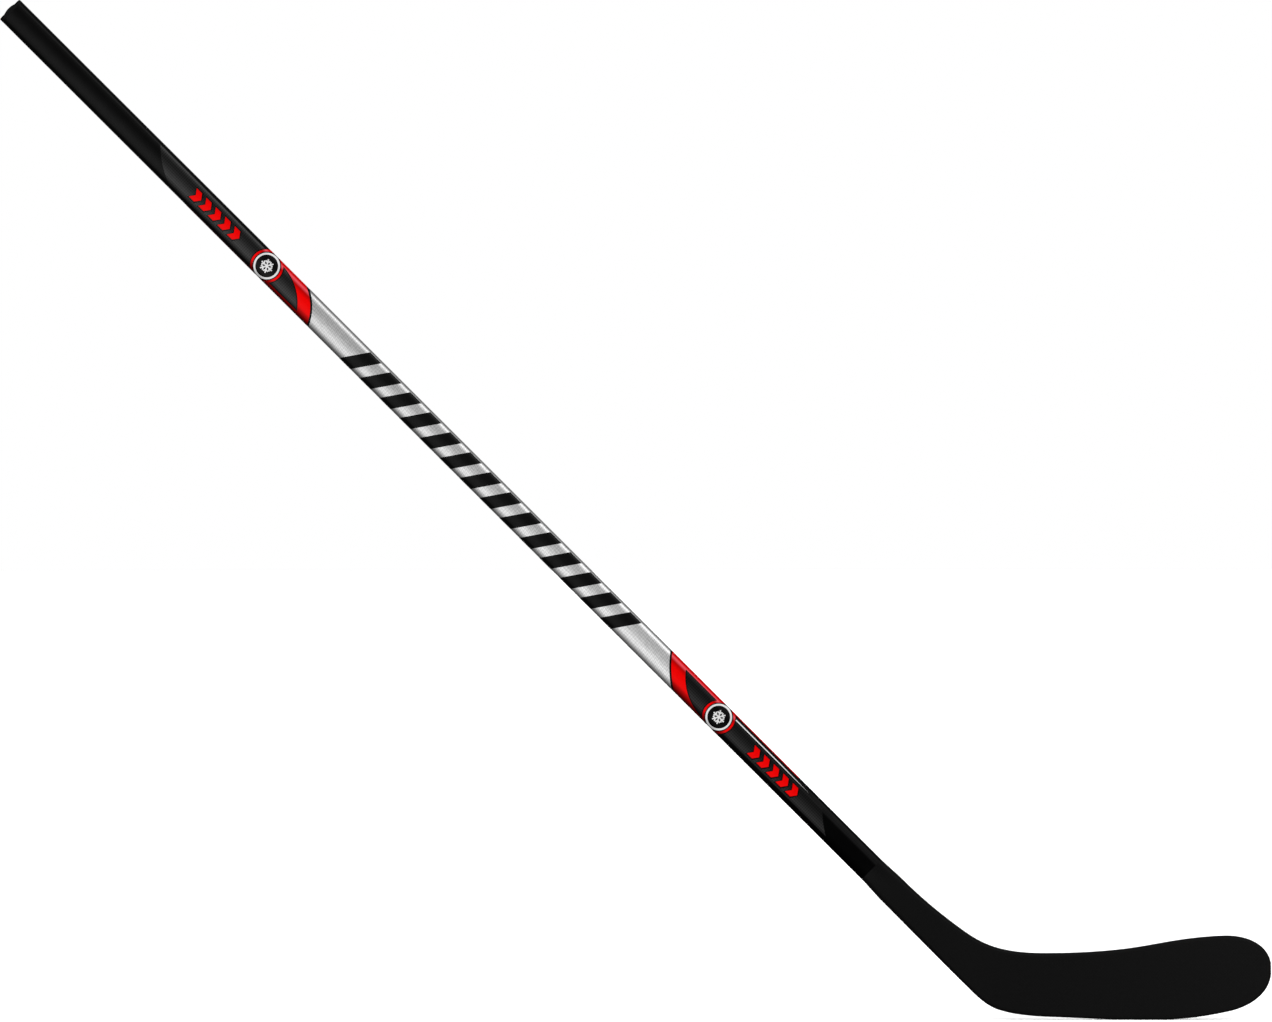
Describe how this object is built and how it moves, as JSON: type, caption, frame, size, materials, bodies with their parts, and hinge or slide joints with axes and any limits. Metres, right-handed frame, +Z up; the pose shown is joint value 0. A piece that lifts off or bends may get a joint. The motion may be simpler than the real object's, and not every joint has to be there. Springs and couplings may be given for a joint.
{
  "type": "ice hockey stick",
  "caption": "Composite ice hockey stick in playing pose: hollow rounded-rectangle shaft at 45 degrees, domed butt plug, curved blade, silver, red and dark grey printed films.",
  "frame": {"origin": "X = 0 halfway along the sole's flat, Z = 0 on the ice, and Y = 0 on the shaft's middle plane; the blade bows, so the middle of the sole's flat is 4.7 mm to the -Y side of the origin", "axes": "+Z up from the ice, +X from the heel towards the toe, -Y out of the front (forehand) face; the shaft rises from the heel towards -X and +Z at 45 degrees"},
  "size_m": [1.3689, 0.0262, 1.1011],
  "materials": {
    "shaft_lacquer": "black carbon laminate under a satin clear coat",
    "plug_rubber": "moulded, matt",
    "hot_melt": "set hot-melt glue",
    "bare_carbon": "uncoated carbon laminate",
    "foam": "closed-cell structural foam",
    "blade_lacquer": "black laminate, satin paint",
    "silver_film": "brushed silver print",
    "red_film": "bright red print",
    "red_print": "bright red print",
    "carbon_film": "dark grey carbon-weave print",
    "black_print": "black print",
    "white_print": "white print"
  },
  "bodies": {
    "root": {"shaft_tube": "shaft_lacquer", "butt_plug": "plug_rubber", "plug_glue": "hot_melt", "hosel": "bare_carbon", "hosel_glue": "hot_melt", "blade_front_skin": "blade_lacquer", "blade_back_skin": "blade_lacquer", "blade_edge_wrap": "blade_lacquer", "blade_upper_core": "foam", "blade_lower_core": "foam", "blade_bridge_rib": "bare_carbon", "silver_sleeve_film": "silver_film", "upper_red_film": "red_film", "lower_red_film": "red_film", "upper_panel_front": "carbon_film", "upper_panel_back": "carbon_film", "lower_panel_front": "carbon_film", "lower_panel_back": "carbon_film", "upper_lens_front": "carbon_film", "upper_lens_back": "carbon_film", "lower_lens_front": "carbon_film", "lower_lens_back": "carbon_film", "bars_front": "black_print", "bars_back": "black_print", "upper_chevrons_front": "red_print", "upper_chevrons_back": "red_print", "lower_chevrons_front": "red_print", "lower_chevrons_back": "red_print", "upper_ring_front": "white_print", "upper_ring_back": "white_print", "lower_ring_front": "white_print", "lower_ring_back": "white_print", "upper_snowflake_front": "white_print", "upper_snowflake_back": "white_print", "lower_snowflake_front": "white_print", "lower_snowflake_back": "white_print", "pinstripe_front": "white_print", "pinstripe_back": "white_print"}
  },
  "joints": []
}
